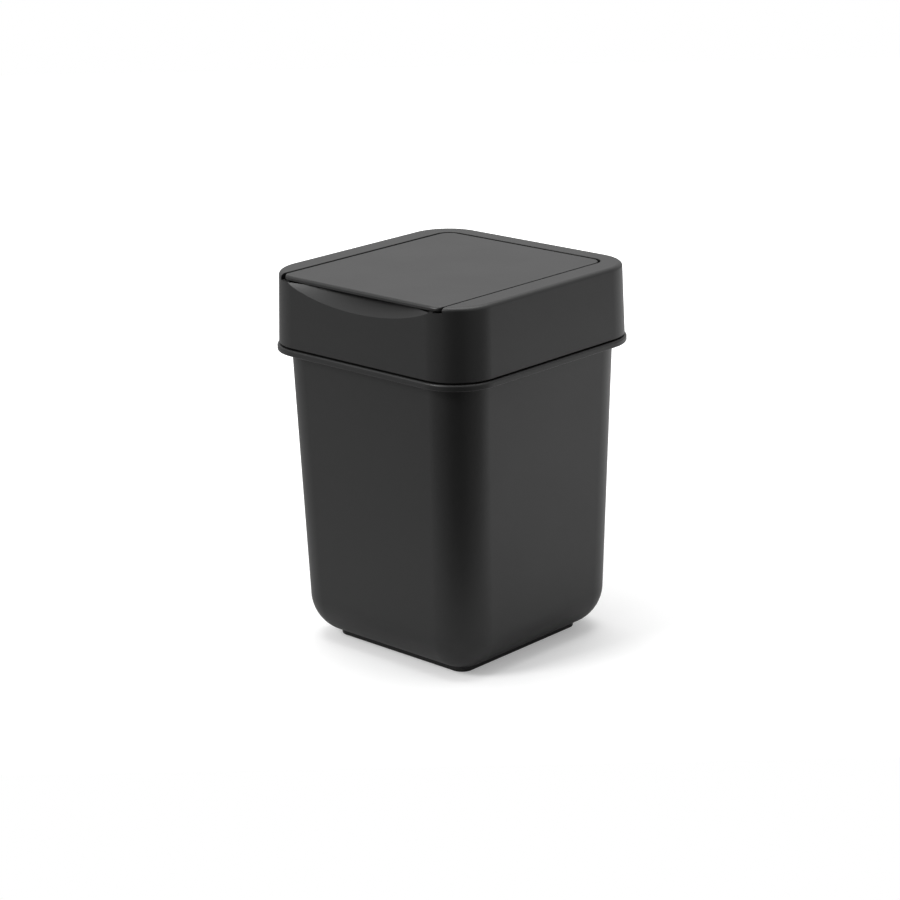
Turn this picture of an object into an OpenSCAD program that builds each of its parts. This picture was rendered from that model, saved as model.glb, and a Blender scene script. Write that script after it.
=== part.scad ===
// Countertop trash can with a swing lid: a square bucket, a lift-off lid
// frame and a one-way swing flap that hangs on two pins.
// Millimetres, +Z up, origin at the middle of the standing face on the floor.
// The front, with the finger scoop, faces -Y.

/* [Overall size] */
// Width over the bucket's rim
width = 185; // [150:1:230]
// Depth over the bucket's rim
depth = 185; // [150:1:230]
// Height from the floor to the top of the lid
height = 260; // [215:1:330]

/* [Walls] */
// Wall thickness of bucket and lid frame
wall = 2.3; // [1.8:0.1:3]

/* [Lid frame] */
// Height of the lid frame above the rim seam
lid_h = 48.7; // [46:0.1:60]
// Plan radius of the lid's vertical corners
lid_corner_r = 30.2; // [26:0.1:34]
// How much each lid wall leans in over its height
lid_draft = 1.2; // [0.5:0.05:2.5]
// Radius of the edge between walls and top
lid_edge_r = 2.6; // [1.5:0.1:5]
// Depth of the wall that lines the flap opening, from the top
throat_depth = 14; // [11:0.5:16]
// How far the locating skirt reaches into the bucket
skirt_reach = 8; // [5:0.5:12]
// Clearance between locating skirt and bucket, per side
skirt_clear = 0.5; // [0.3:0.1:1]

/* [Swing flap] */
// Border between the lid's top outline and the seam, left and right
side_border = 17.3; // [15:0.1:19]
// Border behind the flap
back_border = 14.6; // [13:0.1:20]
// Width of the seam round the flap
flap_gap = 1.6; // [0.9:0.1:2]
// Plan radius of the flap's rear corners
flap_back_r = 9; // [5:0.5:12]
// Plan radius of the flap's front corners
flap_front_r = 5; // [3:0.5:7]
// Thickness of the flap's plate
plate_t = 2.4; // [1.8:0.1:2.6]
// Thickness of the lip along the front edge
lip_t = 3.1; // [2.8:0.1:4.5]
// How far the lip stands back from the lid's front wall
lip_setback = 1.4; // [1:0.1:3]
// Gap between the lip and the top of the front wall
lip_gap = 1; // [0.6:0.1:1.6]
// Depth of the flap's side and rear skirts, from the top
flap_skirt = 13; // [10:0.5:14]

/* [Hinge] */
// Distance from the flap's rear edge forward to the pins
pin_back = 37.4; // [34:0.2:42]
// Depth of the pins below the top
pin_drop = 8; // [7.6:0.1:8.6]
// Diameter of the hinge pins
pin_d = 4; // [3:0.1:5]
// Radial running clearance of the flap on the pins
run_fit = 0.08; // [0.05:0.01:0.1]
// Radial clearance of the pins in the frame
press_fit = 0.01; // [0.01:0.01:0.02]
// Angle the flap opens before it meets the stops
open_angle = 80; // [60:1:84]

/* [Finger scoop] */
// Width of the scoop where it is widest
scoop_w = 132; // [100:1:140]
// Height of the scoop below its widest level
scoop_h = 16.5; // [12:0.5:20]
// Depth of the scoop behind the front wall
scoop_depth = 10; // [7:0.5:12]
// Level of the scoop's widest part above the flap's top
scoop_rise = 1.3; // [0.5:0.1:3]

/* [Bucket] */
// How far the rim stands out past the lid
rim_proud = 1.25; // [0.8:0.05:2]
// Height of the rim's rounded outer edge
rim_edge = 4.4; // [3.6:0.1:6]
// Height of the shadow gap between lid and rim
rim_gap = 1.1; // [0.8:0.1:1.6]
// How far the bucket's wall stands in from the lid's wall
body_inset = 6.55; // [5.5:0.05:9]
// How much each bucket wall leans in over its height
body_taper = 5.7; // [3:0.1:8]
// Plan radius of the bucket's vertical corners
body_corner_r = 28; // [25:0.5:32]
// Radius between the bucket's walls and its bottom
bottom_r = 27.8; // [22:0.2:32]
// Distance from the bucket's lowest wall in to the standing ring
foot_inset = 19.5; // [12:0.5:21]
// Height of the bucket's bottom above the floor
foot_h = 2.5; // [1.5:0.1:4]

/* [Hidden] */
arc_n = 12;
lid_z = height - lid_h;
rim_z = lid_z - rim_gap;
lid_x = width / 2 - rim_proud;
lid_y = depth / 2 - rim_proud;
wall_x = lid_x - body_inset;
wall_y = lid_y - body_inset;
top_x = lid_x - lid_draft;
top_y = lid_y - lid_draft;
mouth_r = body_corner_r - wall;
land_in = 3.1;
skirt_x = wall_x - wall - skirt_clear;
skirt_y = wall_y - wall - skirt_clear;
skirt_t = 2.2;
skirt_r = mouth_r - skirt_clear;
throat_t = 2.2;
hole_x = top_x - side_border;
hole_back = top_y - back_border;
hole_r = flap_back_r + flap_gap;
flap_x = hole_x - flap_gap;
flap_back = hole_back - flap_gap;
lip_z = height - lip_t;
sill_z = lip_z - lip_gap;
lip_y = top_y - lip_setback;
lip_depth = 13;
rest_gap = 0.3;
skirt_step = 0.3;
skirt_wall = 2.2;
pin_y = flap_back - pin_back;
pin_z = height - pin_drop;
pin_r = pin_d / 2;
boss_r = 5.4;
boss_out = 5;
boss_in = 2.6;
head_r = 4;
head_t = 1.6;
head_gap = 0.2;
socket_end = 1.2;
pin_end_gap = 0.3;
ear_w = 18;
ear_drop = 22;
stop_r = 2;
stop_along = 16;
stop_reach = 2.6;
rib_t = 1.8;
rib_depth = 6;
scoop_z = height + scoop_rise;
gate_r = 5;
gate_depth = 0.7;
cut = 1;

// Points of a rounded rectangle at height z, anticlockwise from the rear right corner.
function ring(hx, hy, r, z) = [
    for (q = [0:3])
        let (cx = (q == 0 || q == 3 ? 1 : -1) * (hx - r))
        let (cy = (q < 2 ? 1 : -1) * (hy - r))
        for (i = [0:arc_n])
            let (a = 90 * q + 90 * i / arc_n)
            [cx + r * cos(a), cy + r * sin(a), z]
];

// Closed skin over a list of rings: flat ends, four-sided faces between neighbours.
module skin(rings) {
    n = len(rings[0]);
    m = len(rings);
    sides = [
        for (k = [0:m - 2])
            for (i = [0:n - 1])
                let (j = (i + 1) % n)
                [k * n + i, (k + 1) * n + i, (k + 1) * n + j, k * n + j]
    ];
    start = [[for (i = [0:n - 1]) i]];
    end = [[for (i = [n - 1:-1:0]) (m - 1) * n + i]];
    points = [for (k = [0:m - 1]) for (p = rings[k]) p];
    polyhedron(points = points, faces = concat(start, sides, end));
}

// Closed skin of triangles, for rings whose neighbours are not parallel.
module fine_skin(rings) {
    n = len(rings[0]);
    m = len(rings);
    sides = [
        for (k = [0:m - 2])
            for (i = [0:n - 1])
                let (j = (i + 1) % n)
                each [
                    [k * n + i, (k + 1) * n + i, (k + 1) * n + j],
                    [k * n + i, (k + 1) * n + j, k * n + j]
                ]
    ];
    start = [[for (i = [0:n - 1]) i]];
    end = [[for (i = [n - 1:-1:0]) (m - 1) * n + i]];
    points = [for (k = [0:m - 1]) for (p = rings[k]) p];
    polyhedron(points = points, faces = concat(start, sides, end));
}

// How far the bucket's wall leans in at height z.
function lean(z) = body_taper * (rim_z - z) / (rim_z - foot_h);

// Bucket: standing ring, large bottom radius, leaning walls, turned rim and
// inner face, as one closed skin.
module bin_body() {
    low_x = wall_x - body_taper;
    low_y = wall_y - body_taper;
    foot_x = low_x - foot_inset;
    foot_y = low_y - foot_inset;
    meet = acos(1 - foot_inset / bottom_r);
    foot_r = max(body_corner_r - foot_inset, 6);
    foot_top = foot_h + bottom_r * (1 - sin(meet));
    foot_t = 2.4;
    floor_r = bottom_r - wall;
    rim_x = lid_x + rim_proud;
    rim_y = lid_y + rim_proud;
    rim_r = lid_corner_r + rim_proud;
    nose = 1.1;
    ledge = 2.2;
    turn = 2;
    land_x = lid_x - land_in;
    land_y = lid_y - land_in;
    land_r = lid_corner_r - land_in;
    outside = [
        ring(foot_x - foot_t, foot_y - foot_t, foot_r - foot_t, foot_h),
        ring(foot_x - foot_t, foot_y - foot_t, foot_r - foot_t, 0),
        ring(foot_x, foot_y, foot_r, 0),
        ring(foot_x, foot_y, foot_r, foot_top),
        for (k = [1:8])
            let (a = meet * (1 - k / 8))
            let (z = foot_h + bottom_r * (1 - sin(a)))
            let (in = bottom_r * (1 - cos(a)))
            ring(wall_x - lean(z) - in, wall_y - lean(z) - in, max(body_corner_r - in, foot_r), z),
        ring(wall_x, wall_y, body_corner_r, rim_z - ledge - 1),
    ];
    rim = [
        ring(wall_x + 1, wall_y + 1, body_corner_r + 1, rim_z - ledge),
        ring(rim_x - turn, rim_y - turn, rim_r - turn, rim_z - ledge),
        ring(rim_x - turn, rim_y - turn, rim_r - turn, rim_z - rim_edge),
        for (k = [0:3])
            let (a = 90 * k / 3)
            let (in = nose * (1 - sin(a)))
            ring(rim_x - in, rim_y - in, rim_r - in, rim_z - rim_edge + nose * (1 - cos(a))),
        for (k = [0:3])
            let (a = 90 * k / 3)
            let (in = nose * (1 - cos(a)))
            ring(rim_x - in, rim_y - in, rim_r - in, rim_z - nose + nose * sin(a)),
        ring(land_x, land_y, land_r, rim_z),
        ring(land_x, land_y, land_r, lid_z),
        ring(wall_x - wall + 0.8, wall_y - wall + 0.8, mouth_r + 0.8, lid_z),
        ring(wall_x - wall, wall_y - wall, mouth_r, lid_z - 0.8),
    ];
    inside = [
        for (k = [0:8])
            let (a = 88 * k / 8)
            let (z = foot_h + bottom_r - floor_r * sin(a))
            let (round_in = floor_r * (1 - cos(a)))
            let (in = wall + lean(z) + round_in)
            ring(wall_x - in, wall_y - in, max(mouth_r - round_in, 3), z),
    ];
    color([0.2, 0.2, 0.21])
        difference() {
            skin(concat(outside, rim, inside));
            translate([0, 0, foot_h - cut])
                cylinder(r = gate_r, h = cut + gate_depth, $fn = 48);
        }
}

// Distance of the lid's front face from the middle at height z.
function face_y(z) = lid_y - lid_draft * (z - lid_z) / lid_h;

// Paraboloid bowl a wide, b deep and h high to each side of its widest level,
// set in behind the lid's front face and closed off in front of it by ext.
module bowl(a, b, h, inset, ext, z_end) {
    first = -81;
    last = asin((z_end - scoop_z) / h);
    fine_skin([
        for (k = [0:9])
            let (t = first + (last - first) * k / 9)
            let (s = cos(t))
            let (z = scoop_z + h * sin(t))
            let (y0 = inset - face_y(z))
            concat(
                [for (i = [12:-1:-12]) [a * s * i / 12, y0 + b * s * s * (1 - i * i / 144), z]],
                [[-a * s, y0 - ext, z], [a * s, y0 - ext, z]]
            )
    ]);
}

// Plan of an area with rounded rear corners and a square front.
module back_round(hx, y0, y1, r) {
    translate([-hx, y0])
        square([2 * hx, y1 - r - y0]);
    translate([r - hx, y1 - 2 * r])
        square([2 * (hx - r), 2 * r]);
    for (s = [-1, 1])
        translate([s * (hx - r), y1 - r])
            circle(r = r, $fn = 96);
}

// Round bar along X from x0 to x1, centred on y and z.
module bar(x0, x1, y, z, r) {
    translate([x0, y, z])
        rotate([0, 90, 0])
            cylinder(r = r, h = x1 - x0, $fn = 64);
}

// One half of a pair, placed on the right or mirrored to the left.
module on_side(s) {
    if (s > 0) children();
    if (s < 0) mirror([1, 0, 0]) children();
}

// Frame side of one hinge: ear below the throat wall, socket boss and stop.
module hinge_ear() {
    ear_x = hole_x + throat_t;
    off = height - flap_skirt - pin_z - rest_gap - stop_r;
    stop_y = pin_y + stop_along * cos(open_angle) + off * sin(open_angle);
    stop_z = pin_z - stop_along * sin(open_angle) + off * cos(open_angle);
    translate([hole_x, pin_y - ear_w / 2, height - ear_drop])
        cube([throat_t, ear_w, ear_drop - wall + cut]);
    bar(hole_x, ear_x, pin_y, height - ear_drop, ear_w / 2);
    bar(ear_x - cut, ear_x + boss_out, pin_y, pin_z, boss_r);
    translate([ear_x - cut, pin_y - boss_r, pin_z])
        cube([cut + boss_out, 2 * boss_r, pin_drop - wall + cut]);
    bar(hole_x - stop_reach, hole_x + cut, stop_y, stop_z, stop_r);
}

// Lid frame: leaning walls and top, opening lined by the throat wall, ledge
// and skirt that seat it in the bucket, scoop, hinge ears and flap rests.
module lid_frame() {
    web_t = 2.2;
    lead_in = 0.8;
    inner_e = max(lid_edge_r - wall, 0.2);
    dish_t = 3.2;
    dish_in = 1.2;
    dish_ext = 0.4;
    dish_grow = sqrt((scoop_depth + dish_t - dish_in) / scoop_depth);
    past = 6;
    post_w = 3;
    post_x = flap_x - 6.3;
    post_z = sill_z - 16;
    post_y = -lid_y + lid_draft + wall / 2;
    web_x = lid_x - wall - lid_draft * web_t / lid_h;
    web_y = lid_y - wall - lid_draft * web_t / lid_h;
    edge_x = lid_x - lid_draft * (lid_h - lid_edge_r) / lid_h;
    edge_y = lid_y - lid_draft * (lid_h - lid_edge_r) / lid_h;
    reach = hole_x + throat_t - (lid_x - lid_corner_r);
    mid_r = lid_corner_r - wall / 2;
    throat_y = lid_draft - (lid_y - lid_corner_r) - sqrt(mid_r * mid_r - reach * reach);
    rings = [
        ring(top_x - wall - inner_e, top_y - wall - inner_e, lid_corner_r - wall - inner_e, height - wall),
        ring(top_x - wall, top_y - wall, lid_corner_r - wall, height - wall - inner_e),
        ring(web_x, web_y, lid_corner_r - wall, lid_z + web_t),
        ring(skirt_x - skirt_t, skirt_y - skirt_t, skirt_r - skirt_t, lid_z + web_t),
        ring(skirt_x - skirt_t, skirt_y - skirt_t, skirt_r - skirt_t, lid_z - skirt_reach),
        ring(skirt_x - lead_in, skirt_y - lead_in, skirt_r - lead_in, lid_z - skirt_reach),
        ring(skirt_x, skirt_y, skirt_r, lid_z - skirt_reach + 2 * lead_in),
        ring(skirt_x, skirt_y, skirt_r, lid_z),
        ring(lid_x, lid_y, lid_corner_r, lid_z),
        for (k = [0:5])
            let (a = 90 * k / 5)
            let (in = lid_edge_r * (1 - cos(a)))
            ring(edge_x - in, edge_y - in, lid_corner_r - in, height - lid_edge_r * (1 - sin(a)))
    ];
    color([0.22, 0.22, 0.23])
        difference() {
            union() {
                difference() {
                    union() {
                        skin(rings);
                        bowl(dish_grow * scoop_w / 2, scoop_depth + dish_t - dish_in, dish_grow * scoop_h,
                            dish_in, dish_ext, sill_z + cut / 2);
                        translate([0, 0, height - throat_depth])
                            linear_extrude(height = throat_depth - wall + cut)
                                difference() {
                                    back_round(hole_x + throat_t, throat_y, hole_back + throat_t, hole_r + throat_t);
                                    back_round(hole_x, throat_y - cut, hole_back, hole_r);
                                }
                    }
                    translate([0, 0, sill_z])
                        linear_extrude(height = lip_t + lip_gap + cut)
                            back_round(hole_x, -depth / 2 - past, hole_back, hole_r);
                    bowl(scoop_w / 2, scoop_depth, scoop_h, 0, past, sill_z + cut);
                }
                for (s = [-1, 1])
                    on_side(s)
                        hinge_ear();
                for (s = [-1, 1])
                    translate([s * post_x - post_w / 2, post_y, post_z])
                        cube([post_w, 5, lip_z - rest_gap - post_z]);
            }
            for (s = [-1, 1])
                on_side(s)
                    bar(hole_x - cut, hole_x + throat_t + boss_out - socket_end, pin_y, pin_z, pin_r + press_fit);
        }
}

// Outline of the flap at rounding angle t (0 at the sides, 90 on top), with the
// edge radius growing from side_e at the sides to almost the whole lip in front.
function flap_ring(t, flat) =
    let (side_e = 0.9)
    let (front_e = lip_t - 0.2)
    let (arc_x = lid_x - lid_corner_r)
    let (arc_y = lid_y - lid_corner_r)
    let (arc_r = lid_corner_r - lid_draft - lip_setback)
    let (nook_x = flap_x - flap_front_r)
    let (nook_d = nook_x - arc_x)
    let (nook_y = -arc_y - sqrt(pow(arc_r - flap_front_r, 2) - nook_d * nook_d))
    let (turn = acos(nook_d / (arc_r - flap_front_r)))
    let (back_x = flap_x - flap_back_r)
    let (back_y = flap_back - flap_back_r)
    let (marks = [
        for (i = [0:9]) [back_x, back_y, flap_back_r, 10 * i],
        for (i = [0:9]) [-back_x, back_y, flap_back_r, 90 + 10 * i],
        for (i = [0:9]) [-nook_x, nook_y, flap_front_r, 180 + turn * i / 9],
        for (i = [1:4]) [-arc_x, -arc_y, arc_r, 180 + turn + (90 - turn) * i / 4],
        for (i = [0:3]) [arc_x, -arc_y, arc_r, 270 + (90 - turn) * i / 4],
        for (i = [0:9]) [nook_x, nook_y, flap_front_r, 360 - turn + turn * i / 9]
    ])
    [
        for (m = marks)
            let (w = max(0, -sin(m[3])))
            let (e = side_e + (front_e - side_e) * w * w * (3 - 2 * w))
            let (r = m[2] - e * (1 - cos(t)))
            [m[0] + r * cos(m[3]), m[1] + r * sin(m[3]), flat ? lip_z : height - e * (1 - sin(t))]
    ];

// Swing flap: plate with a round-nosed front lip, side and rear skirts, ribs
// underneath and a bored boss on each side.
module swing_flap() {
    rail = 3.4;
    under = height - plate_t;
    out_x = flap_x - skirt_step;
    front = lip_depth - lip_y;
    rib_z = under - rib_depth;
    long_x = 0.34 * flap_x;
    color([0.24, 0.24, 0.25])
        difference() {
            union() {
                difference() {
                    fine_skin(concat([flap_ring(0, true)], [for (k = [0:4]) flap_ring(90 * k / 4, false)]));
                    translate([rail - flap_x, front, lip_z - cut])
                        cube([2 * (flap_x - rail), flap_back - rail - front, cut + lip_t - plate_t]);
                }
                translate([0, 0, height - flap_skirt])
                    linear_extrude(height = flap_skirt - lip_t + cut / 2)
                        difference() {
                            back_round(out_x, 5 - lip_y, flap_back - skirt_step, flap_back_r - skirt_step);
                            back_round(out_x - skirt_wall, 5 - lip_y - cut, flap_back - skirt_step - skirt_wall,
                                flap_back_r - skirt_step - skirt_wall);
                        }
                for (x = [-long_x, long_x])
                    translate([x - rib_t / 2, front - cut, rib_z])
                        cube([rib_t, flap_back - skirt_wall - front + cut, rib_depth + cut / 2]);
                for (y = [front, (front + pin_y) / 2, pin_y - 9, pin_y + 14])
                    translate([cut - out_x, y, rib_z])
                        cube([2 * (out_x - cut), rib_t, rib_depth + cut / 2]);
                for (s = [-1, 1])
                    on_side(s) {
                        bar(out_x - skirt_wall - boss_in, out_x, pin_y, pin_z, boss_r);
                        translate([out_x - skirt_wall - boss_in, pin_y - boss_r, pin_z])
                            cube([boss_in + cut, 2 * boss_r, pin_drop - plate_t + cut / 2]);
                    }
            }
            for (s = [-1, 1])
                on_side(s)
                    bar(out_x - skirt_wall - boss_in - cut, out_x + cut, pin_y, pin_z, pin_r + run_fit);
        }
}

// Headed pin through the flap's boss into the frame's socket.
module hinge_pin() {
    head_x = flap_x - skirt_step - skirt_wall - boss_in - head_gap;
    end_x = hole_x + throat_t + boss_out - socket_end - pin_end_gap;
    tip = 0.5;
    bar(head_x - head_t, head_x, pin_y, pin_z, head_r);
    bar(head_x - cut / 2, end_x - tip, pin_y, pin_z, pin_r);
    translate([end_x - tip, pin_y, pin_z])
        rotate([0, 90, 0])
            cylinder(r1 = pin_r, r2 = pin_r - tip, h = tip, $fn = 64);
}

module hinge_pin_left() {
    color([0.3, 0.3, 0.31])
        mirror([1, 0, 0])
            hinge_pin();
}

module hinge_pin_right() {
    color([0.3, 0.3, 0.31])
        hinge_pin();
}

bin_body();
lid_frame();
swing_flap();
hinge_pin_left();
hinge_pin_right();
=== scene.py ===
# %% [markdown]
# # A square countertop bin with a swing lid
# The bin is three plastic mouldings: a bucket, a lid frame that lifts off it,
# and a flap that swings in the frame on two pins. The exact model holds their
# sizes and their motion. This script loads it as a fixed frame, gives each
# moulding a smooth skin with the small rounded edges that catch the light, and
# finishes them as dark satin plastic.

import math

import bpy
import numpy as np
from mathutils import Matrix, Vector


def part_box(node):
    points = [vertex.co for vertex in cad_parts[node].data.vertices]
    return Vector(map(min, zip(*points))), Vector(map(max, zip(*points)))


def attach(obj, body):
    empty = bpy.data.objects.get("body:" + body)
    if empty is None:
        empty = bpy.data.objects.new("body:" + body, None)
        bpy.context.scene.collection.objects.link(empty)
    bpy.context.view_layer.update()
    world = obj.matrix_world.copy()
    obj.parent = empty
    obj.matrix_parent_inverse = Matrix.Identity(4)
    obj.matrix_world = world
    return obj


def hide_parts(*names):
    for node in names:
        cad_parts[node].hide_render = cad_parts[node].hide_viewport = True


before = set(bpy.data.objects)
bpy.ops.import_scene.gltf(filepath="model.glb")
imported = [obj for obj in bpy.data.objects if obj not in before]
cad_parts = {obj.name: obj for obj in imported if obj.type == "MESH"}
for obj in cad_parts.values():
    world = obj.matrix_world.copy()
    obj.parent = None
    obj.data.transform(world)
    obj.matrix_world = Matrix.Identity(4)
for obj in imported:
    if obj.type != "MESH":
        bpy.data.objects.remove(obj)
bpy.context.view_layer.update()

# %% [markdown]
# ## Driving sizes
# The outer sizes could be typed in, but then the skins would part from the
# model when it changes, so they come from the frame's boxes. The wall, lean
# and corner sizes are those of a thin-walled moulding, which leans in a little
# so that it leaves its mould. A moulding is drawn in millimetres, so the sizes
# are too, and each mesh is turned into metres last.

# %% Sizes in millimetres
MM = 0.001


def box_mm(node):
    """Lowest and highest corner of a node's box, in millimetres."""
    return [np.array(corner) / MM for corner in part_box(node)]


bucket_high = box_mm("bin_body")[1]
lid_high = box_mm("lid_frame")[1]
flap_high = box_mm("swing_flap")[1]
pin_low, pin_high = box_mm("hinge_pin_right")
WALL = 2.3  # the bucket's wall and the lid's
INNER_WALL = 2.2  # linings, skirts and flanges
BITE = 1.0  # how far a joined solid reaches into its neighbour
TOP = lid_high[2]
LID_LEVEL = bucket_high[2]
RIM_HALF = bucket_high[0]
RIM_STEP = 1.25  # the bucket's rim stands out past the lid
LID_HALF = RIM_HALF - RIM_STEP
LID_ROUND = 30.2
LID_LEAN = 1.2
TOP_HALF = LID_HALF - LID_LEAN
FLAP_HALF, FLAP_BACK = flap_high[:2]
FLAP_ROUND = 9
SEAM = 1.6
HOLE_HALF = FLAP_HALF + SEAM
HOLE_BACK = FLAP_BACK + SEAM
HOLE_ROUND = FLAP_ROUND + SEAM
LIP_LEVEL = TOP - 3.1  # underside of the flap's lip
SILL = LIP_LEVEL - 1  # top of the front wall below the lip
PIN_Y, PIN_Z = (pin_low + pin_high)[1:] / 2
print("rim", RIM_HALF, "lid", LID_HALF, "top", TOP)
print("flap", FLAP_HALF, FLAP_BACK, "pin", PIN_Y, PIN_Z)

# %% [markdown]
# ## The camera
# The photograph looks down on the bin's front right corner from far away with
# a long lens, so its edges are almost parallel. A camera can be aimed with a
# Track To constraint, but this one is also tipped by about one degree, so its
# three directions are worked out: back towards the camera, right and up. A fit
# to the outline and the seams gave where it stands.

# %% Camera
VIEW_FROM = Vector((1.1669, -1.2523, 0.6722))
VIEW_AT = Vector((0.00295, -0.00759, 0.13294))
VIEW_TILT = math.radians(-1.1515)
LENS, SENSOR = 105.13, 36
back = (VIEW_FROM - VIEW_AT).normalized()
right = Vector((0, 0, 1)).cross(back).normalized()
above = back.cross(right)
cos_tilt, sin_tilt = math.cos(VIEW_TILT), math.sin(VIEW_TILT)
right_tilted = right * cos_tilt + above * sin_tilt
above_tilted = above * cos_tilt - right * sin_tilt
directions = Matrix((right_tilted, above_tilted, back)).transposed()
camera_data = bpy.data.cameras.new("camera")
camera_data.lens = LENS
camera_data.sensor_width = SENSOR
camera = bpy.data.objects.new("camera", camera_data)
camera.rotation_mode = "QUATERNION"
camera.location = VIEW_FROM
camera.rotation_quaternion = directions.to_quaternion()
bpy.context.scene.collection.objects.link(camera)
bpy.context.scene.camera = camera
print("camera distance", (VIEW_FROM - VIEW_AT).length)

# %% [markdown]
# ## Plastic
# All pieces are one dark polypropylene with a fine spark-eroded grain, which
# breaks reflections up, so the plastic looks satin. An image of grain would
# stretch over the round corners; noise in the piece's own space has the same
# size everywhere. Two scales of noise make the effect, kept in one node group
# that every finish uses: the fine one is the grain, the coarse one marks the
# places that handling has rubbed.


# %% Node helpers and the grain group
def add_node(tree, kind, values=None, **settings):
    """New shader node with its settings and the values of its sockets."""
    node = tree.nodes.new("ShaderNode" + kind)
    for name, value in settings.items():
        setattr(node, name, value)
    for socket, value in (values or {}).items():
        node.inputs[socket].default_value = value
    return node


def link(tree, a, a_socket, b, b_socket):
    """Joins output a_socket of node a to input b_socket of node b."""
    tree.links.new(a.outputs[a_socket], b.inputs[b_socket])


def spread(start, end, low, high):
    """Values of a Map Range node: start becomes low and end becomes high."""
    return {"From Min": start, "From Max": end, "To Min": low, "To Max": high}


def make_grain_group():
    """Node group: position in, grain height and a rubbed-place mask out. The
    fine noise's scale is 1 divided by the grain size."""
    group = bpy.data.node_groups.new("moulded grain", "ShaderNodeTree")
    sockets = group.interface
    sockets.new_socket("Position", in_out="INPUT", socket_type="NodeSocketVector")
    sockets.new_socket("Grain Size", in_out="INPUT", socket_type="NodeSocketFloat")
    sockets.new_socket("Height", in_out="OUTPUT", socket_type="NodeSocketFloat")
    sockets.new_socket("Rubbed", in_out="OUTPUT", socket_type="NodeSocketFloat")
    begin = group.nodes.new("NodeGroupInput")
    end = group.nodes.new("NodeGroupOutput")
    fine = add_node(group, "TexNoise", {"Detail": 2})
    broad = add_node(group, "TexNoise", {"Scale": 22, "Detail": 3})
    scale = add_node(group, "Math", {0: 1}, operation="DIVIDE")
    link(group, begin, "Grain Size", scale, 1)
    link(group, begin, "Position", fine, "Vector")
    link(group, scale, 0, fine, "Scale")
    link(group, begin, "Position", broad, "Vector")
    link(group, fine, "Fac", end, "Height")
    link(group, broad, "Fac", end, "Rubbed")
    return group


GRAIN = make_grain_group()
print("grain group nodes", len(GRAIN.nodes))

# %% [markdown]
# ## The four finishes
# The photograph shows nearly black plastic where it faces the dark side of the
# room, and grey where it meets the light at a glancing angle. That comes from
# a very dark base colour under a plain gloss, so the finishes need no coat.
# The rubbed places shift the colour and the roughness a little, by less than
# the eye would call a stain.

# %% Satin plastic
GRAIN_SIZE = 0.7 * MM
GRAIN_DEPTH = 0.02 * MM
ROUGH_SHIFT = 0.015
COLOUR_SHIFT = (0.1, 0.1, 0.08)


def make_plastic(name, shade, rough):
    """Satin plastic. The grey level is shade and the roughness is rough; both
    shift a little, up and down, with the rubbed-place mask."""
    material = bpy.data.materials.new(name)
    material.use_nodes = True
    tree = material.node_tree
    surface = tree.nodes["Principled BSDF"]
    surface.inputs["IOR"].default_value = 1.5
    place = add_node(tree, "TexCoord")
    grain = add_node(tree, "Group", node_tree=GRAIN)
    grain.inputs["Grain Size"].default_value = GRAIN_SIZE
    link(tree, place, "Object", grain, "Position")
    gloss = add_node(tree, "MapRange", spread(0.3, 0.7, rough - ROUGH_SHIFT, rough + ROUGH_SHIFT))
    link(tree, grain, "Rubbed", gloss, "Value")
    link(tree, gloss, "Result", surface, "Roughness")
    darker = tuple(shade * (1 - shift) for shift in COLOUR_SHIFT) + (1,)
    lighter = tuple(shade * (1 + shift) for shift in COLOUR_SHIFT) + (1,)
    colour = add_node(tree, "Mix", {"A": darker, "B": lighter}, data_type="RGBA")
    link(tree, grain, "Rubbed", colour, "Factor")
    link(tree, colour, "Result", surface, "Base Color")
    bump = add_node(tree, "Bump", {"Distance": GRAIN_DEPTH, "Strength": 0.6})
    link(tree, grain, "Height", bump, "Height")
    link(tree, bump, "Normal", surface, "Normal")
    return material


LID_PLASTIC = make_plastic("lid plastic", 0.008, 0.42)
BUCKET_PLASTIC = make_plastic("bucket plastic", 0.007, 0.42)
FLAP_PLASTIC = make_plastic("flap plastic", 0.008, 0.42)
PIN_PLASTIC = make_plastic("pin plastic", 0.007, 0.35)
print("finishes", [m.name for m in bpy.data.materials if "plastic" in m.name])

# %% [markdown]
# ## Round shapes as grids of points
# Each moulding is a closed skin. Most of its surfaces are rounded squares,
# stacked like slices, so one profile and one slice shape describe it. The
# slices could be cut from a cube with bevels, but then the size of each edge
# would depend on its neighbours. A grid worked out from the profile keeps
# every radius as written.

# %% Profiles and slices
QUARTER = 24  # steps round a quarter turn


def soften(rows, steps=5):
    """Profile with its corners rounded. A row is half width, corner radius,
    level and reach. A corner B becomes the curve that starts reach before B,
    ends reach after it and bends towards it, a weighted sum of the three
    points with weights (1-t)^2, 2t(1-t) and t^2. A reach is kept below half
    of the stretch that it lies on."""
    rows = np.array(rows, float)
    points, reach = rows[:, :3], rows[1:-1, 3]
    way = np.diff(points, axis=0)
    size = np.linalg.norm(way[:, [0, -1]], axis=1)
    near = np.minimum(reach, 0.49 * np.minimum(size[:-1], size[1:]))
    corner = points[1:-1]
    start = corner - way[:-1] * (near / size[:-1])[:, None]
    end = corner + way[1:] * (near / size[1:])[:, None]
    t = np.linspace(0, 1, steps + 1)[:, None, None]
    curves = (1 - t) ** 2 * start + 2 * t * (1 - t) * corner + t**2 * end
    curves = curves.transpose(1, 0, 2).reshape(-1, 3)
    return np.concatenate([points[:1], curves, points[-1:]])


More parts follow.
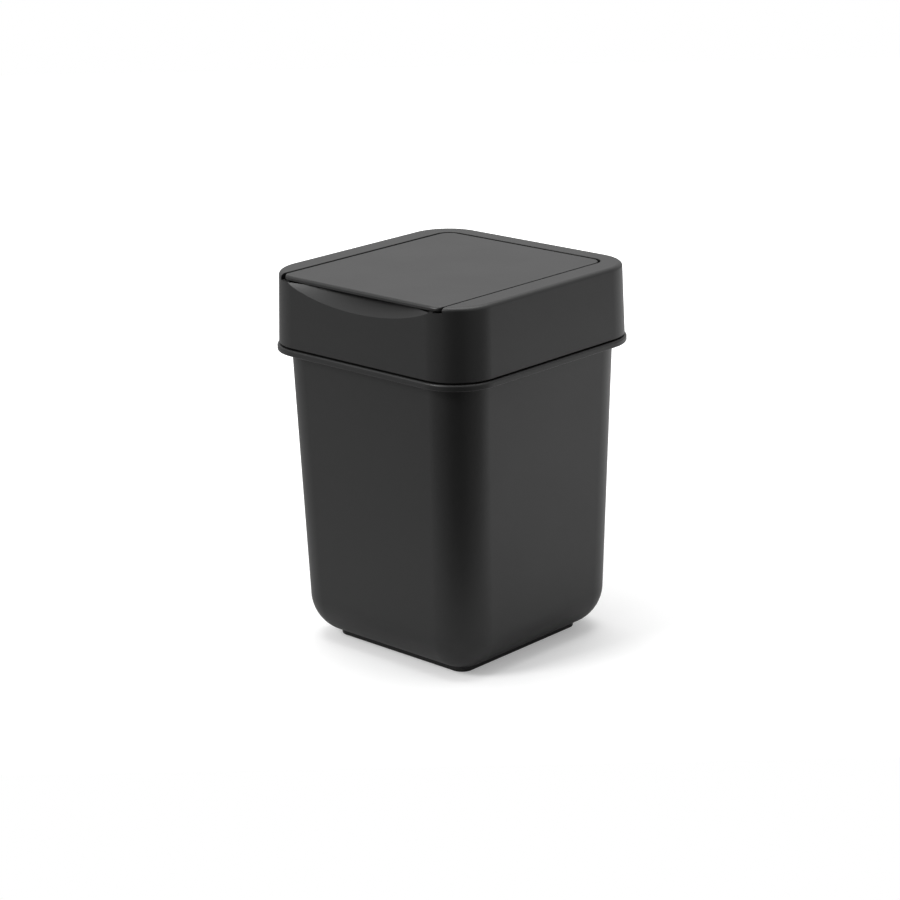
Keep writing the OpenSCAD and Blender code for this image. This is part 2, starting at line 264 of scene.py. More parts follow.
def square_slices(profile):
    """Grid of slices from rows of half width, corner radius and level. A point
    at angle a of a corner is the corner's centre plus radius times (cos a,
    sin a); the four corners follow each other round the slice."""
    half, corner, level = (profile[:, [i]] for i in range(3))
    turn = np.linspace(0, np.pi / 2, QUARTER + 1)
    angle = (np.arange(4)[:, None] * np.pi / 2 + turn).ravel()
    side_x = np.repeat([1, -1, -1, 1], QUARTER + 1)
    side_y = np.repeat([1, 1, -1, -1], QUARTER + 1)
    x = side_x * (half - corner) + corner * np.cos(angle)
    y = side_y * (half - corner) + corner * np.sin(angle)
    return np.stack([x, y, level + 0 * x], axis=-1)


def solid(name, grid):
    """Object from a grid of slices, in millimetres: quads between slices, a
    flat face on the first slice and one on the last."""
    rows, count = grid.shape[:2]
    mark = np.arange(rows * count).reshape(rows, count)
    turned = np.roll(mark, -1, axis=1)
    quads = np.stack([mark[:-1], turned[:-1], turned[1:], mark[1:]], axis=-1)
    ends = [mark[0][::-1].tolist(), mark[-1].tolist()]
    mesh = bpy.data.meshes.new(name)
    mesh.from_pydata(grid.reshape(-1, 3) * MM, [], quads.reshape(-1, 4).tolist() + ends)
    item = bpy.data.objects.new(name, mesh)
    bpy.context.scene.collection.objects.link(item)
    return item


print("points in a slice", square_slices(np.array([[LID_HALF, LID_ROUND, TOP]])).shape[1])

# %% [markdown]
# ## Joining, cutting and finishing
# A skin that isn't only slices is joined and cut from several solids. Boolean
# modifiers could stay live, but the creases have to be found on the finished
# mesh, so each result is kept and its tools are thrown away. Then the skin is
# shaded smooth with creases where it turns by more than 33 degrees, and flat
# faces are given more say over the shading than the narrow curved ones.

# %% Joining and finishing
CREASE = math.radians(33)


def combine(target, tools, operation):
    """Adds the tool solids to the target, or takes them away, for good."""
    for tool in tools:
        step = target.modifiers.new("combine", "BOOLEAN")
        step.operation = operation
        step.solver = "EXACT"
        step.object = tool
    joined = target.evaluated_get(bpy.context.evaluated_depsgraph_get())
    result = bpy.data.meshes.new_from_object(joined)
    target.modifiers.clear()
    target.data = result
    for tool in tools:
        bpy.data.objects.remove(tool)
    print(target.name, operation.lower(), len(tools), "solids,", len(result.polygons), "faces")


def finish_skin(item, material, body, node):
    """Smooth shading with true creases, material and body; the model's own part is hidden."""
    mesh = item.data
    mesh.materials.clear()
    mesh.materials.append(material)
    mesh.shade_smooth()
    mesh.set_sharp_from_angle(angle=CREASE)
    weigh = item.modifiers.new("even shading", "WEIGHTED_NORMAL")
    weigh.keep_sharp = True
    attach(item, body)
    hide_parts(node)
    print(item.name, len(mesh.polygons), "faces")


# %% [markdown]
# ## Bucket
# The bucket is one thin-walled moulding: a standing ring, a large radius under
# leaning walls, and a rim that turns out and down so that it is stiff and
# pleasant to grip. It could be a cube with its top open and a Solidify wall,
# but the rim's small radii decide how it catches the light, so the whole
# section is written as one profile. Its outside starts at the mould's gate in
# the middle of the underside, and goes over the standing ring and the large
# radius up to the rim.

# %% Bucket, from the gate to the walls
LAND_HIGH = 1.1  # the lid stands on a land this far above the rim
RIM_TOP = LID_LEVEL - LAND_HIGH
WALL_HALF = LID_HALF - 6.55
WALL_ROUND = 28.0
BOTTOM_ROUND = 27.8
FOOT = 2.5  # the bucket's floor stands this high on its ring
FOOT_INSET = 19.5
RING_DRAFT = 0.2
BUCKET_LEAN = 5.7
GATE_HALF = 5.0
GATE_DEEP = 0.7


def lean(z):
    """How far the bucket's wall leans in at level z: in proportion to the
    distance below the rim, BUCKET_LEAN in all."""
    return BUCKET_LEAN * (RIM_TOP - z) / (RIM_TOP - FOOT)


meet = np.arccos(1 - FOOT_INSET / BOTTOM_ROUND)
foot_half = WALL_HALF - BUCKET_LEAN - FOOT_INSET
foot_round = WALL_ROUND - FOOT_INSET
ring_half = foot_half - INNER_WALL
ring_round = foot_round - INNER_WALL
sweep = np.linspace(meet, 0, 25)
bottom_in = BOTTOM_ROUND * (1 - np.cos(sweep))
bottom_level = FOOT + BOTTOM_ROUND * (1 - np.sin(sweep))
bottom_half = WALL_HALF - lean(bottom_level) - bottom_in
bottom = np.stack([bottom_half, WALL_ROUND - bottom_in, bottom_level], axis=1)
under = soften(
    [
        (GATE_HALF - 0.1, GATE_HALF - 0.2, FOOT + GATE_DEEP, 0),
        (GATE_HALF + 0.1, GATE_HALF, FOOT, 0.2),
        (ring_half - RING_DRAFT, ring_round - RING_DRAFT, FOOT, 0.6),
        (ring_half, ring_round, 0, 0.35),
        (foot_half - RING_DRAFT, foot_round - RING_DRAFT, 0, 0.6),
        (foot_half, foot_round, bottom[0, 2], 0.6),
        (*bottom[1], 0),
    ]
)
print("underside", under.shape, "large radius", bottom.shape)

# %% [markdown]
# The rim goes out over the wall, down and back up round the grip, in over the
# land that the lid stands on, and down into the bucket. The inside follows the
# outside at the wall's thickness, down to a flat floor.

# %% Bucket, from the rim to the floor inside
RIM_DROP = 4.4
RIM_LIP = 2.0
LAND_INSET = 3.1
FLOOR_ROUND = 3
FLOOR_TURN = math.radians(88)
land = LID_HALF - LAND_INSET
land_round = LID_ROUND - LAND_INSET
rim_round = LID_ROUND + RIM_STEP
grip = RIM_HALF - RIM_LIP
grip_round = rim_round - RIM_LIP
flange = RIM_TOP - INNER_WALL
mouth = WALL_HALF - WALL
mouth_round = WALL_ROUND - WALL
turn_level = FOOT + BOTTOM_ROUND
rim = soften(
    [
        (*bottom[-1], 0),
        (WALL_HALF - lean(flange), WALL_ROUND, flange, 1.6),
        (grip, grip_round, flange, 0.8),
        (grip, grip_round, RIM_TOP - RIM_DROP, 0.4),
        (RIM_HALF, rim_round, RIM_TOP - RIM_DROP, 1.5),
        (RIM_HALF, rim_round, RIM_TOP, 1.5),
        (land, land_round, RIM_TOP, 0.25),
        (land, land_round, LID_LEVEL, 0.25),
        (mouth, mouth_round, LID_LEVEL, 0.8),
        (mouth - lean(turn_level), mouth_round, turn_level, 0),
    ],
    steps=8,
)
sweep = np.linspace(0, FLOOR_TURN, 25)
inner_in = (BOTTOM_ROUND - WALL) * (1 - np.cos(sweep))
inner_level = turn_level - (BOTTOM_ROUND - WALL) * np.sin(sweep)
inner_half = mouth - lean(inner_level) - inner_in
inner_round = np.maximum(mouth_round - inner_in, FLOOR_ROUND)
inside = np.stack([inner_half, inner_round, inner_level], axis=1)
bucket_profile = np.concatenate([under[:-1], bottom[1:-1], rim[:-1], inside])
bucket = solid("bucket", square_slices(bucket_profile))
finish_skin(bucket, BUCKET_PLASTIC, "bin", "bin_body")

# %% [markdown]
# ## Lid frame
# The lid frame is a shallow cap with a large opening. A wall lines the opening
# on three sides, a skirt under the cap locates it in the bucket, and the front
# wall has a hollow for the fingers. A real mould makes the cap and cuts these
# shapes out of its steel, so the skin is made in the same order: closed solids
# for the cap, the lining and the hollow, joined and cut with exact Booleans.
# They need a few outlines first: a rectangle, a bay with round rear corners,
# and a lining that follows the bay.


# %% Upright outlines and solids
def block(name, outline, low, high):
    """Upright solid on an outline of X, Y points, from level low to high."""
    slices = np.repeat(np.asarray(outline, float)[None], 2, axis=0)
    levels = np.zeros(slices.shape[:2] + (1,)) + np.array([low, high]).reshape(2, 1, 1)
    return solid(name, np.concatenate([slices, levels], axis=2))


def oblong(x0, x1, y0, y1):
    """Corner points of a rectangle, anticlockwise."""
    return np.array([(x1, y1), (x0, y1), (x0, y0), (x1, y0)], float)


def rear_arcs(half, rear, corner):
    """Points round the two rear corners: centre plus corner radius times
    (cos a, sin a), a from 0 to 90 degrees on the right, 90 to 180 on the left."""
    turn = np.linspace(0, np.pi / 2, QUARTER + 1)
    angle = np.concatenate([turn, turn + np.pi / 2])
    x = np.repeat([1, -1], QUARTER + 1) * (half - corner) + corner * np.cos(angle)
    return np.stack([x, rear - corner + corner * np.sin(angle)], 1)


def bay(half, front, rear, corner):
    """Outline with round rear corners and a square front."""
    return np.concatenate([rear_arcs(half, rear, corner), [(-half, front), (half, front)]])


def lining(half, front, rear, corner, thick):
    """Outline of a U-shaped wall: the bay's outline thick mm further out, then
    the bay's own outline backwards."""
    outer = rear_arcs(half + thick, rear + thick, corner + thick)
    inner = rear_arcs(half, rear, corner)[::-1]
    left_end = [(-half - thick, front), (-half, front)]
    right_end = [(half, front), (half + thick, front)]
    return np.concatenate([outer, left_end, inner, right_end])


print("points in a bay", len(bay(HOLE_HALF, 0, HOLE_BACK, HOLE_ROUND)))

# %% [markdown]
# The hinge's parts lie across the bin instead: tongues that hang from the
# plate with a half round below, and round rods. They come in pairs, one on
# each side. A Mirror modifier would turn the twin's faces inside out unless it
# were put right, so the twin is made at its own place.


# %% Outlines and solids across the bin
def across(name, stations, outlines):
    """Solid along X: at each station x, an outline of Y, Z points."""
    x = np.zeros(outlines.shape[:2] + (1,)) + np.asarray(stations, float)[:, None, None]
    return solid(name, np.concatenate([x, outlines], axis=2))


def tongue(y, z, radius, top):
    """Y, Z outline: half a circle round y, z below, straight up to the top."""
    angle = np.linspace(np.pi, 2 * np.pi, 2 * QUARTER + 1)
    arc = np.stack([y + radius * np.cos(angle), z + radius * np.sin(angle)], 1)
    return np.concatenate([[(y + radius, top), (y - radius, top)], arc])


def circles(y, z, radii):
    """Y, Z circles of the given radii round one centre."""
    angle = np.linspace(0, 2 * np.pi, 64, endpoint=False)
    radii = np.asarray(radii, float)[:, None]
    return np.stack([y + radii * np.cos(angle), z + radii * np.sin(angle)], axis=-1)


def pair(name, x0, x1, outline):
    """One solid from x0 to x1 and its twin on the left, on the same outline."""
    both = np.stack([outline, outline])
    return [across(name, [x0, x1], both), across(name, [-x1, -x0], both)]


print("points in a tongue", len(tongue(0, 0, 1, 1)))

# %% [markdown]
# The scoop is deepest in the middle under the lip and runs out to nothing at
# its lower edge, like the hollow that a large ball leaves. A ball would give
# a straight shadow line; this bowl bends more at its sides. Its section at
# every level is a parabola behind the front wall, so that its edge lies
# exactly on the wall. A larger bowl behind it keeps the wall's thickness.

# %% Scoop bowl
SCOOP_HALF = 80.0
SCOOP_DEEP = 14.0
SCOOP_HIGH = 27.2
SCOOP_LEVEL = TOP + 12
BOWL_START = math.radians(-88)


def front_face(z):
    """Y of the lid's front face at level z: it leans in evenly with height."""
    return LID_LEAN * (z - LID_LEVEL) / (TOP - LID_LEVEL) - LID_HALF


def bowl(name, grow, inset, ahead, end):
    """Bowl behind the front face, inset mm inside it and grow mm larger, closed
    ahead mm in front, up to level end. With s the cosine of the height angle,
    a section is half * s wide and deep * s^2 * (1 - u^2) deep at u across it."""
    deep = SCOOP_DEEP + grow - inset
    scale = math.sqrt(deep / SCOOP_DEEP)
    half, high = SCOOP_HALF * scale, SCOOP_HIGH * scale
    last = math.asin((end - SCOOP_LEVEL) / high)
    t = np.linspace(BOWL_START, last, 49)[:, None]
    s, z = np.cos(t), SCOOP_LEVEL + high * np.sin(t)
    u = np.linspace(1, -1, 65)
    x = half * s * np.concatenate([u, [-1, 1]])
    depth = np.concatenate([deep * s**2 * (1 - u**2), 0 * s - ahead, 0 * s - ahead], axis=1)
    return solid(name, np.stack([x, inset + front_face(z) + depth, z + 0 * x], axis=-1))


print("front face at the top", front_face(TOP))

# %% [markdown]
# The cap is a profile like the bucket's, from the underside of its plate, down
# the inside, round the skirt, and up the outside. Its upper edge is wider than
# it is high, an elliptical round, which fades out slowly on the top as in the
# photograph. The lining runs forward until it meets the cap's round corners.

# %% Lid cap and lining
EDGE = 2.6
EDGE_WIDE = 3.6
SKIRT_GAP = 0.5
SKIRT_DEEP = 8
LINING_DEEP = 14
SCOOP_WALL = 3.2
under_plate = TOP - WALL
ledge = LID_LEVEL + INNER_WALL
edge_half = LID_HALF - LID_LEAN * (TOP - EDGE - LID_LEVEL) / (TOP - LID_LEVEL)
skirt = mouth - SKIRT_GAP
skirt_round = mouth_round - SKIRT_GAP
skirt_in = skirt - INNER_WALL
skirt_in_round = skirt_round - INNER_WALL
cap_foot = soften(
    [
        (TOP_HALF - WALL - 3, LID_ROUND - WALL - 3, under_plate, 0),
        (TOP_HALF - WALL, LID_ROUND - WALL, under_plate, 0.5),
        (LID_HALF - WALL, LID_ROUND - WALL, ledge, 0.8),
        (skirt_in, skirt_in_round, ledge, 0.4),
        (skirt_in, skirt_in_round, LID_LEVEL - SKIRT_DEEP, 0.4),
        (skirt, skirt_round, LID_LEVEL - SKIRT_DEEP, 1),
        (skirt, skirt_round, LID_LEVEL, 0.1),
        (LID_HALF, LID_ROUND, LID_LEVEL, 0.35),
        (edge_half, LID_ROUND, TOP - EDGE, 0),
    ]
)
arc = np.linspace(0, np.pi / 2, 13)
edge_in = EDGE_WIDE * (1 - np.cos(arc))
edge_level = TOP - EDGE * (1 - np.sin(arc))
cap_edge = np.stack([edge_half - edge_in, LID_ROUND - edge_in, edge_level], axis=1)
lid = solid("lid", square_slices(np.concatenate([cap_foot[:-1], cap_edge])))
arc_at = LID_HALF - LID_ROUND
ear = HOLE_HALF + INNER_WALL
lining_reach = math.sqrt((LID_ROUND - WALL / 2) ** 2 - (ear - arc_at) ** 2)
lining_front = LID_LEAN - arc_at - lining_reach
lining_shape = lining(HOLE_HALF, lining_front, HOLE_BACK, HOLE_ROUND, INNER_WALL)
opening_wall = block("lining", lining_shape, TOP - LINING_DEEP, under_plate + BITE)
scoop_back = bowl("scoop back", SCOOP_WALL, INNER_WALL, 0.4, SILL + BITE / 2)
combine(lid, [opening_wall, scoop_back], "UNION")

# %% [markdown]
# The opening is cut with one solid that runs out past the front, where the
# flap's lip lies over the wall. Its upper edge flares by four tenths of a
# millimetre, so the lid's edge along the seam is softly rounded. The scoop is
# cut with the smaller bowl, which stands out in front of the wall.

# %% Opening and scoop
FLARE = 0.4
PAST_FRONT = -100
arc = np.linspace(0, np.pi / 2, 7)
cut_levels = np.concatenate([[SILL], TOP - FLARE + FLARE * np.sin(arc), [TOP + BITE]])
cut_grow = np.concatenate([[0], FLARE * (1 - np.cos(arc)), [FLARE]])
cut_outlines = np.stack(
    [bay(HOLE_HALF + g, PAST_FRONT, HOLE_BACK + g, HOLE_ROUND + g) for g in cut_grow]
)
cut_z = np.zeros(cut_outlines.shape[:2] + (1,)) + cut_levels[:, None, None]
opening = solid("opening", np.concatenate([cut_outlines, cut_z], axis=2))
combine(lid, [opening, bowl("scoop", 0, 0, 6, SILL + BITE)], "DIFFERENCE")

# %% [markdown]
# Each hinge has an ear that reaches below the lining, a boss that the pin is
# pressed into, and a nib that stops the flap. The nib's place comes from the
# flap's open position: when the flap has turned by 80 degrees, the nib stands
# just under the edge of its skirt, 16 mm from the pin. Two posts behind the
# front wall catch the flap's lip when it falls shut.

# %% Hinge ears, stops and rests
PIN_ROUND = 2
BOSS_ROUND = 5.4
EAR_ROUND = 9
EAR_LEVEL = TOP - 22
STOP_ROUND = 2
STOP_ALONG = 16
STOP_GAP = 0.3
FLAP_SKIRT_LEVEL = TOP - 13
open_turn = math.radians(80)
stop_off = FLAP_SKIRT_LEVEL - PIN_Z - STOP_GAP - STOP_ROUND
stop_y = PIN_Y + STOP_ALONG * math.cos(open_turn) + stop_off * math.sin(open_turn)
stop_z = PIN_Z - STOP_ALONG * math.sin(open_turn) + stop_off * math.cos(open_turn)
ears = pair("ear", HOLE_HALF, ear, tongue(PIN_Y, EAR_LEVEL, EAR_ROUND, under_plate + BITE))
bosses = pair("boss", ear - BITE, ear + 5, tongue(PIN_Y, PIN_Z, BOSS_ROUND, under_plate + BITE))
nib = circles(stop_y, stop_z, [STOP_ROUND])[0]
nibs = pair("stop", HOLE_HALF - 2.6, HOLE_HALF + BITE, nib)
post = FLAP_HALF - 6.3
post_front = LID_LEAN + WALL / 2 - LID_HALF
post_foot, post_top = SILL - 16, LIP_LEVEL - STOP_GAP
posts = [
    block("post", oblong(x - 1.5, x + 1.5, post_front, post_front + 5), post_foot, post_top)
    for x in (-post, post)
]
combine(lid, ears + bosses + nibs + posts, "UNION")
socket = circles(PIN_Y, PIN_Z, [PIN_ROUND + 0.01])[0]
combine(lid, pair("bore", HOLE_HALF - BITE, ear + 3.8, socket), "DIFFERENCE")
finish_skin(lid, LID_PLASTIC, "lid", "lid_frame")

# %% [markdown]
# ## Swing flap
# The flap is a plate whose outline follows the opening at the back and the
# lid's round corners in front. Its front edge is a soft nose, pleasant to push
# with a finger; its other edges are almost sharp. A Bevel modifier has one
# width, so the edge is worked out instead: its radius grows smoothly as the
# outline turns to the front. The flap lies a quarter of a millimetre below the
# lid's top and is as much smaller all round, so that its seam reads as a line.
# The outline is six arcs in a row; straight sides lie between them.

# %% Flap outline
FLAP_EASE = 0.25
FLAP_TOP = TOP - 0.25
FLAP_SIDE_EDGE = 0.35
FLAP_FRONT_EDGE = 1.8
NOOK_ROUND = 5  # where the flap's sides turn in to the nose
NOSE_INSET = 1.4  # the nose stands this far behind the lid's front
FULL = 2 * np.pi
nose_round = LID_ROUND - LID_LEAN - NOSE_INSET
nook = FLAP_HALF - NOOK_ROUND
nook_off = nook - arc_at
nook_y = -arc_at - math.sqrt((nose_round - NOOK_ROUND) ** 2 - nook_off**2)
nook_turn = math.acos(nook_off / (nose_round - NOOK_ROUND))


def sweep_arc(x, y, radius, start, end, steps):
    """Rows of centre, radius and angle along an arc."""
    angle = np.linspace(start, end, steps)
    return np.column_stack([np.full((steps, 3), (x, y, radius)), angle])


rear_x, rear_y = FLAP_HALF - FLAP_ROUND, FLAP_BACK - FLAP_ROUND
outline_arcs = [
    sweep_arc(rear_x, rear_y, FLAP_ROUND, 0, FULL / 4, QUARTER + 1),
    sweep_arc(-rear_x, rear_y, FLAP_ROUND, FULL / 4, FULL / 2, QUARTER + 1),
    sweep_arc(-nook, nook_y, NOOK_ROUND, FULL / 2, FULL / 2 + nook_turn, 19),
    sweep_arc(-arc_at, -arc_at, nose_round, FULL / 2 + nook_turn, FULL * 3 / 4, 10)[1:],
    sweep_arc(arc_at, -arc_at, nose_round, FULL * 3 / 4, FULL - nook_turn, 10)[:-1],
    sweep_arc(nook, nook_y, NOOK_ROUND, FULL - nook_turn, FULL, 19),
]
centre_x, centre_y, arc_round, arc_angle = np.concatenate(outline_arcs).T
print("points round the flap", len(arc_angle))

# %% [markdown]
# Slices with this outline make the plate: a few round the small radius of its
# underside, then a quarter turn over the upper edge. Every slice keeps the
# arcs' centres and only changes their radius, so the edge follows the outline.

# %% Flap plate
UNDER_EDGE = 0.18
ahead = np.maximum(0, -np.sin(arc_angle))
edge = FLAP_SIDE_EDGE + (FLAP_FRONT_EDGE - FLAP_SIDE_EDGE) * ahead**2 * (3 - 2 * ahead)


def flap_slice(inset, level):
    """Slice of the flap's skin at that level, inset mm inside the outline: each
    arc's centre plus its radius, less the inset, times (cos a, sin a)."""
    r = arc_round - FLAP_EASE - inset
    x = centre_x + r * np.cos(arc_angle)
    y = centre_y + r * np.sin(arc_angle)
    return np.column_stack([x, y, level + 0 * x])


def upper_slice(turn):
    """Slice at angle t of the upper edge. The edge radius e goes from the
    side's to the front's as w^2 (3 - 2w), w being how far the outline faces
    forward; the slice is e (1 - cos t) further in, e (1 - sin t) below the top."""
    return flap_slice(edge * (1 - math.cos(turn)), FLAP_TOP - edge * (1 - math.sin(turn)))


def lower_slice(turn):
    """Slice at angle t of the underside's edge, with one radius all round: it
    starts one radius in, and ends at the full outline one radius higher."""
    rise = UNDER_EDGE * (1 - math.cos(turn))
    return flap_slice(UNDER_EDGE * (1 - math.sin(turn)), LIP_LEVEL + rise)


lower = [lower_slice(turn) for turn in np.linspace(0, np.pi / 2, 4)]
upper = [upper_slice(turn) for turn in np.linspace(0, np.pi / 2, 13)]
flap = solid("flap", np.stack(lower + upper))
print("flap plate", len(flap.data.polygons), "faces")

# %% [markdown]
# Underneath, a skirt stiffens the plate on three sides and ribs cross it, so
# that the plate can be thin without sinking. The bosses hold the pins. The
# underside is hidden until the flap is open; then all of it shows, so it is
# real geometry and not a bump.

# %% Flap underside
SIDE_GAP = 0.3
POCKET_SIDE = 3.4
RIB_HALF = 0.9
RIB_HIGH = 6
BORE_ROUND = PIN_ROUND + 0.08
plate_under = TOP - 2.4
rib_low = plate_under - RIB_HIGH
rib_high = plate_under + BITE / 2
out = FLAP_HALF - SIDE_GAP
nose_y = NOSE_INSET - TOP_HALF
lip_back = nose_y + 13
pocket_half = FLAP_HALF - POCKET_SIDE
pocket = oblong(-pocket_half, pocket_half, lip_back, FLAP_BACK - POCKET_SIDE)
combine(flap, [block("pocket", pocket, LIP_LEVEL - BITE, plate_under)], "DIFFERENCE")
rib_rear = FLAP_BACK - INNER_WALL
rib_ends = out - BITE
long_ribs = [
    block("rib", oblong(x - RIB_HALF, x + RIB_HALF, lip_back - BITE, rib_rear), rib_low, rib_high)
    for x in (-0.34 * FLAP_HALF, 0.34 * FLAP_HALF)
]
cross_ribs = [
    block("rib", oblong(-rib_ends, rib_ends, y, y + 2 * RIB_HALF), rib_low, rib_high)
    for y in (lip_back, (lip_back + PIN_Y) / 2, PIN_Y - 9, PIN_Y + 14)
]
skirt_shape = lining(out - INNER_WALL, nose_y + 5, FLAP_BACK - 2.5, 6.5, INNER_WALL)
flap_skirt = block("flap skirt", skirt_shape, FLAP_SKIRT_LEVEL, LIP_LEVEL + BITE / 2)
flap_bosses = pair("flap boss", out - 4.8, out, tongue(PIN_Y, PIN_Z, BOSS_ROUND, rib_high))
combine(flap, [flap_skirt] + long_ribs + cross_ribs + flap_bosses, "UNION")
bore = circles(PIN_Y, PIN_Z, [BORE_ROUND])[0]
combine(flap, pair("flap bore", out - 5.8, out + BITE, bore), "DIFFERENCE")
finish_skin(flap, FLAP_PLASTIC, "flap", "swing_flap")

# %% [markdown]
# ## Hinge pins
# Each pin is a turned rod with a head, pushed in from inside the flap. It
# could be two cylinders, but a turned pin is one profile carried round its
# axis, with the head's edge and the tip eased so that it starts in its hole.

# %% Pins
HEAD_ROUND = 4
HEAD_EASE = 0.2
TIP_EASE = 0.5
pin_end = pin_high[0]
head_end = FLAP_HALF - 5.3
head_start = head_end - 1.6
head_x = [head_start, head_start + HEAD_EASE, head_end - HEAD_EASE, head_end]
head_radii = [HEAD_ROUND - HEAD_EASE, HEAD_ROUND, HEAD_ROUND, HEAD_ROUND - HEAD_EASE]
pin_x = np.array(head_x + [head_end, pin_end - TIP_EASE, pin_end])
pin_radii = np.array(head_radii + [PIN_ROUND, PIN_ROUND, PIN_ROUND - TIP_EASE])
for name, side in (("hinge_pin_right", 1), ("hinge_pin_left", -1)):
    rings = circles(PIN_Y, PIN_Z, pin_radii[::side])
    pin = across(name.replace("hinge_", ""), (side * pin_x)[::side], rings)
    finish_skin(pin, PIN_PLASTIC, "lid", name)

# %% [markdown]
# ## Studio table
# The photograph has a white table that reaches far to the left and right but
# ends short of the camera. The bin's sides mirror it faintly, so its front end
# matters as much as its colour: beyond it the bin mirrors the dark. One face
# in line with the camera's view is enough, as nobody sees its edges.

# %% Table
TABLE_HALF = 2.2
TABLE_FRONT = 0.23
TABLE_BACK = 2.4
sideways = Vector((right.x, right.y, 0)).normalized()
away = Vector((-back.x, -back.y, 0)).normalized()
table_corners = [
    sideways * across_by + away * away_by
    for across_by, away_by in (
        (-TABLE_HALF, -TABLE_FRONT),
        (TABLE_HALF, -TABLE_FRONT),
        (TABLE_HALF, TABLE_BACK),
        (-TABLE_HALF, TABLE_BACK),
    )
]
table_mesh = bpy.data.meshes.new("table")
table_mesh.from_pydata([tuple(c) for c in table_corners], [], [(0, 1, 2, 3)])
table = bpy.data.objects.new("table", table_mesh)
bpy.context.scene.collection.objects.link(table)
print("table", 2 * TABLE_HALF, "by", TABLE_FRONT + TABLE_BACK, "m")

# %% [markdown]
# One plain white can't give the greys that the bin mirrors and also a soft
# shadow on a white ground, so the table has two looks. The bin's reflections
# and the light that comes back from the table meet a matt white with painted
# shade: it is darker on the left, standing in for less light on that side of
# the room. The camera sees a plain matt white with a glow that grows with
# distance, until the table melts into the background and only the bin's shadow
# stays.

# %% The table's two looks
table_paint = bpy.data.materials.new("white table")
table_paint.use_nodes = True
paint = table_paint.node_tree
spot = add_node(paint, "TexCoord")
mirrored = paint.nodes["Principled BSDF"]
mirrored.inputs["Roughness"].default_value = 0.8
# painted shade: the colour that the bin mirrors runs from 0.4 on the left to 0.95 on the right
along = add_node(paint, "VectorMath", {1: sideways}, operation="DOT_PRODUCT")
shade = add_node(paint, "MapRange", spread(-0.3, 0.65, 0.4, 0.95))
link(paint, spot, "Object", along, 0)
link(paint, along, "Value", shade, "Value")
link(paint, shade, "Result", mirrored, "Base Color")
pictured = add_node(paint, "BsdfDiffuse", {"Color": (0.8, 0.8, 0.8, 1)})
far = add_node(paint, "VectorMath", operation="LENGTH")
bright = add_node(paint, "MapRange", spread(0.3, 1.2, 0.26, 1))
glow = add_node(paint, "Emission")
link(paint, spot, "Object", far, 0)
link(paint, far, "Value", bright, "Value")
link(paint, bright, "Result", glow, "Strength")
both = add_node(paint, "AddShader")
link(paint, pictured, 0, both, 0)
link(paint, glow, 0, both, 1)
seen_by = add_node(paint, "LightPath")
choose = add_node(paint, "MixShader")
link(paint, seen_by, "Is Camera Ray", choose, "Fac")
link(paint, mirrored, 0, choose, 1)
link(paint, both, 0, choose, 2)
link(paint, choose, 0, paint.nodes["Material Output"], "Surface")
table_mesh.materials.append(table_paint)
print("table nodes", len(paint.nodes))

# %% [markdown]
# ## Lamps
# Two square softboxes are enough. The large one overhead gives the top its
# grey and the bin its soft shadow. The small one in front of the bin, on the
# left, lifts the front wall and draws the glints on the lip and the rim.

# %% Lamps
BIN_MIDDLE = Vector((0, 0, 0.13))


def softbox(name, place, size, power):
    """Square area lamp of that side, in metres, aimed at the bin's middle."""
    data = bpy.data.lights.new(name, "AREA")
    data.size = size
    data.energy = power
    lamp = bpy.data.objects.new(name, data)
    lamp.location = place
    lamp.rotation_mode = "QUATERNION"
    lamp.rotation_quaternion = (Vector(place) - BIN_MIDDLE).to_track_quat("Z", "Y")
    bpy.context.scene.collection.objects.link(lamp)
    print(name, power, "W")


softbox("top softbox", away * 0.3 + Vector((0, 0, 1.9)), 1.6, 22)
softbox("key softbox", (-0.35, -1.3, 1.1), 0.45, 13)

# %% [markdown]
# ## The room
# The room is bright, with a dark place round the camera. So the bin's near
# corner mirrors the dark and its sides mirror the bright walls beside it.
# Walls and flags could be built as objects, but a world whose brightness
# depends on the direction does the same without noise. The heading decides
# between the dark place and the room; overhead the room comes back, and below
# the table's level it is dimmer. The camera itself sees plain white.

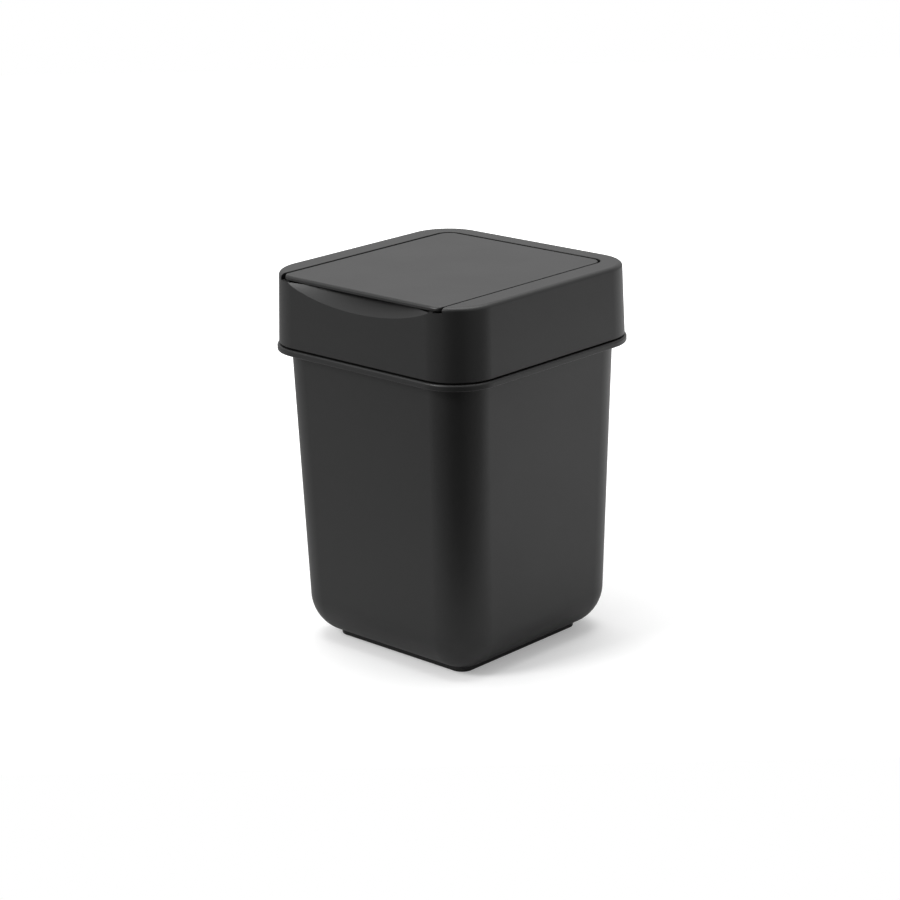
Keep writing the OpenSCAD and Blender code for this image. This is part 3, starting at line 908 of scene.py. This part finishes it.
# %% World
ROOM = 0.74
OPENING = 0.2
UNDER_TABLE = 0.32
OPENING_TURN = math.radians(-3)
world = bpy.data.worlds.new("studio")
bpy.context.scene.world = world
world.use_nodes = True
sky = world.node_tree
WHITE = (1, 1, 1, 1)


def smooth_range(start, end, low, high):
    """Map Range node that goes smoothly from low to high."""
    values = spread(start, end, low, high)
    return add_node(sky, "MapRange", values, interpolation_type="SMOOTHSTEP")


opening_middle = Matrix.Rotation(OPENING_TURN, 3, "Z") @ -away
direction = add_node(sky, "TexCoord")
level_part = add_node(sky, "VectorMath", {1: (1, 1, 0)}, operation="MULTIPLY")
heading = add_node(sky, "VectorMath", operation="NORMALIZE")
facing = add_node(sky, "VectorMath", {1: opening_middle}, operation="DOT_PRODUCT")
beside = smooth_range(0.82, 0.95, ROOM, OPENING)
height = add_node(sky, "SeparateXYZ")
overhead = smooth_range(0.8, 0.95, 0, 1)
below = smooth_range(-0.03, 0.03, UNDER_TABLE, 1)
roof = add_node(sky, "Mix", {"B": ROOM})
dim = add_node(sky, "Math", operation="MULTIPLY")
link(sky, direction, "Generated", level_part, 0)
link(sky, level_part, 0, heading, 0)
link(sky, heading, 0, facing, 0)
link(sky, facing, "Value", beside, "Value")
link(sky, direction, "Generated", height, 0)
link(sky, height, "Z", overhead, "Value")
link(sky, height, "Z", below, "Value")
link(sky, overhead, "Result", roof, "Factor")
link(sky, beside, "Result", roof, "A")
link(sky, roof, "Result", dim, 0)
link(sky, below, "Result", dim, 1)
room_light = sky.nodes["Background"]
room_light.inputs["Color"].default_value = WHITE
link(sky, dim, 0, room_light, "Strength")
white = add_node(sky, "Background", {"Color": WHITE})
ray = add_node(sky, "LightPath")
pick = add_node(sky, "MixShader")
link(sky, ray, "Is Camera Ray", pick, "Fac")
link(sky, room_light, 0, pick, 1)
link(sky, white, 0, pick, 2)
link(sky, pick, 0, sky.nodes["World Output"], "Surface")
bpy.context.scene.view_settings.view_transform = "Standard"
print("room brightness", ROOM, "towards the camera", OPENING)
